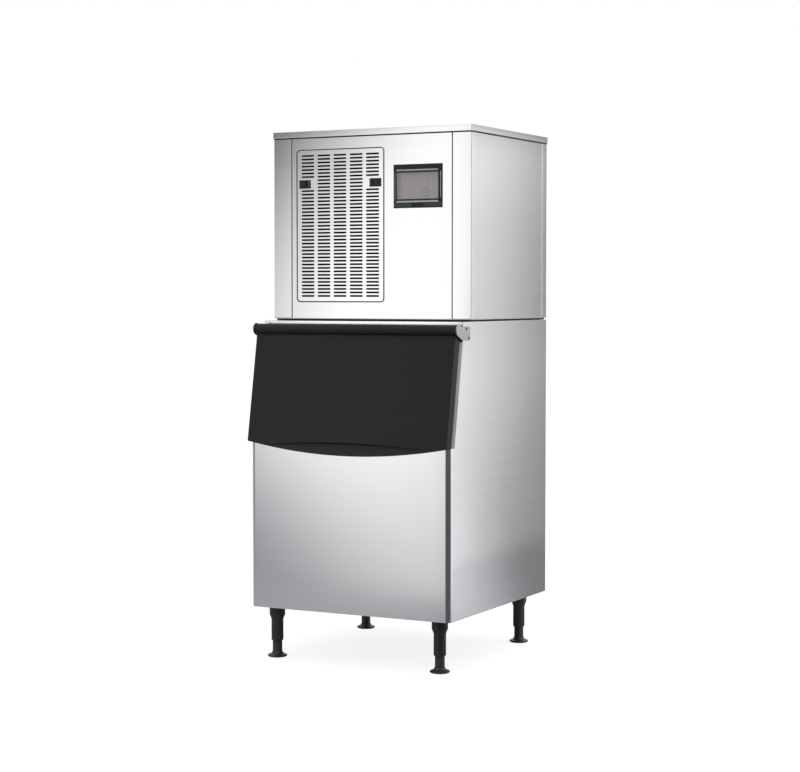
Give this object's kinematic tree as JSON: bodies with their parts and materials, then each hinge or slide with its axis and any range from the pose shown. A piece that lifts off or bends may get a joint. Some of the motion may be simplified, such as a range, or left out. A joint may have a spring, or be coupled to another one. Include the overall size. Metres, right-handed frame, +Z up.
{
  "type": "cube ice machine",
  "caption": "Floor-standing cube ice machine: stainless ice-making head with a slotted filter cover and a control window, on an insulated bin with a black lift-up door and adjustable legs.",
  "frame": {"origin": "on the floor, at the middle of the overall length and width", "axes": "+Z up, +X to the machine's right as seen from the front, the door and control window face -Y"},
  "size_m": [0.676, 0.7249, 1.5726],
  "materials": {
    "stainless": "brushed",
    "galvanised": "matte",
    "black_plastic": "satin",
    "white_plastic": "satin",
    "grey_plastic": "satin",
    "foam": "matte",
    "rubber": "matte",
    "copper": "satin",
    "aluminium": "satin",
    "black_steel": "satin",
    "brass": "satin",
    "smoked_cover": "clear smoked",
    "keypad_grey": "satin"
  },
  "bodies": {
    "cabinet": {"air_filter": "black_plastic", "bin_back_panel": "galvanised", "bin_bottom_panel": "galvanised", "bin_drain_fitting": "black_plastic", "bin_insulation": "foam", "bin_liner": "white_plastic", "bin_top_frame": "stainless", "bin_wrap": "stainless", "cable_gland": "black_plastic", "compressor": "black_steel", "condenser_coil": "aluminium", "control_bezel": "black_plastic", "control_box": "galvanised", "control_panel": "keypad_grey", "divider_wall": "white_plastic", "evaporator_coil": "copper", "evaporator_frame": "white_plastic", "evaporator_grid": "stainless", "fan_motor": "black_steel", "fan_shroud": "galvanised", "filter_drier": "copper", "grille_cover": "stainless", "head_back_panel": "galvanised", "head_base_pan": "galvanised", "head_front_panel": "stainless", "head_gasket": "rubber", "head_post_front_left": "stainless", "head_post_front_right": "stainless", "head_post_rear_left": "stainless", "head_post_rear_right": "stainless", "head_side_panel_left": "stainless", "head_side_panel_right": "stainless", "head_top_cover": "stainless", "hinge_bracket_left": "stainless", "hinge_bracket_right": "stainless", "latch_housing_left": "black_plastic", "latch_housing_right": "black_plastic", "leg_sleeve_front_left": "black_plastic", "leg_sleeve_front_right": "black_plastic", "leg_sleeve_rear_left": "black_plastic", "leg_sleeve_rear_right": "black_plastic", "opening_frame": "grey_plastic", "water_distributor": "white_plastic", "water_inlet_valve": "brass", "water_pump": "black_plastic", "water_trough": "white_plastic"},
    "door": {"door_shell": "black_plastic", "door_inner_panel": "black_plastic", "door_gasket": "rubber"},
    "flap": {"control_flap": "smoked_cover"},
    "button": {"power_button": "keypad_grey"},
    "latch_left": {"latch_slider_left": "black_plastic"},
    "latch_right": {"latch_slider_right": "black_plastic"},
    "fan": {"fan_blade": "aluminium"},
    "curtain": {"water_curtain": "white_plastic"},
    "foot_front_left": {"leg_foot_front_left": "black_plastic"},
    "foot_front_right": {"leg_foot_front_right": "black_plastic"},
    "foot_rear_left": {"leg_foot_rear_left": "black_plastic"},
    "foot_rear_right": {"leg_foot_rear_right": "black_plastic"}
  },
  "joints": [
    {"name": "door_hinge", "type": "hinge", "parent": "cabinet", "child": "door", "pos_m": [0, -0.29424, 0.983], "axis": [-1, 0, 0], "range_deg": [0, 180]},
    {"name": "flap_hinge", "type": "hinge", "parent": "cabinet", "child": "flap", "pos_m": [0.15775, -0.20028, 1.4471], "axis": [-1, 0, 0], "range_deg": [0, 95]},
    {"name": "button_press", "type": "slide", "parent": "cabinet", "child": "button", "axis": [0, 1, 0], "range_m": [0, 0.0015], "stiffness_N_per_m": 800},
    {"name": "latch_slide_left", "type": "slide", "parent": "cabinet", "child": "latch_left", "axis": [1, 0, 0], "range_m": [0, 0.006], "stiffness_N_per_m": 300},
    {"name": "latch_slide_right", "type": "slide", "parent": "cabinet", "child": "latch_right", "axis": [-1, 0, 0], "range_m": [0, 0.006], "stiffness_N_per_m": 300},
    {"name": "fan_spin", "type": "hinge", "parent": "cabinet", "child": "fan", "pos_m": [-0.1025, -0.08888, 1.2741], "axis": [0, 1, 0], "continuous": true},
    {"name": "curtain_swing", "type": "hinge", "parent": "cabinet", "child": "curtain", "pos_m": [0.17, 0.10282, 1.4699], "axis": [0, -1, 0], "range_deg": [0, 22]},
    {"name": "foot_screw_front_left", "type": "slide", "parent": "cabinet", "child": "foot_front_left", "axis": [0, 0, 1], "range_m": [-0.02, 0.02]},
    {"name": "foot_screw_front_right", "type": "slide", "parent": "cabinet", "child": "foot_front_right", "axis": [0, 0, 1], "range_m": [-0.02, 0.02]},
    {"name": "foot_screw_rear_left", "type": "slide", "parent": "cabinet", "child": "foot_rear_left", "axis": [0, 0, 1], "range_m": [-0.02, 0.02]},
    {"name": "foot_screw_rear_right", "type": "slide", "parent": "cabinet", "child": "foot_rear_right", "axis": [0, 0, 1], "range_m": [-0.02, 0.02]}
  ]
}
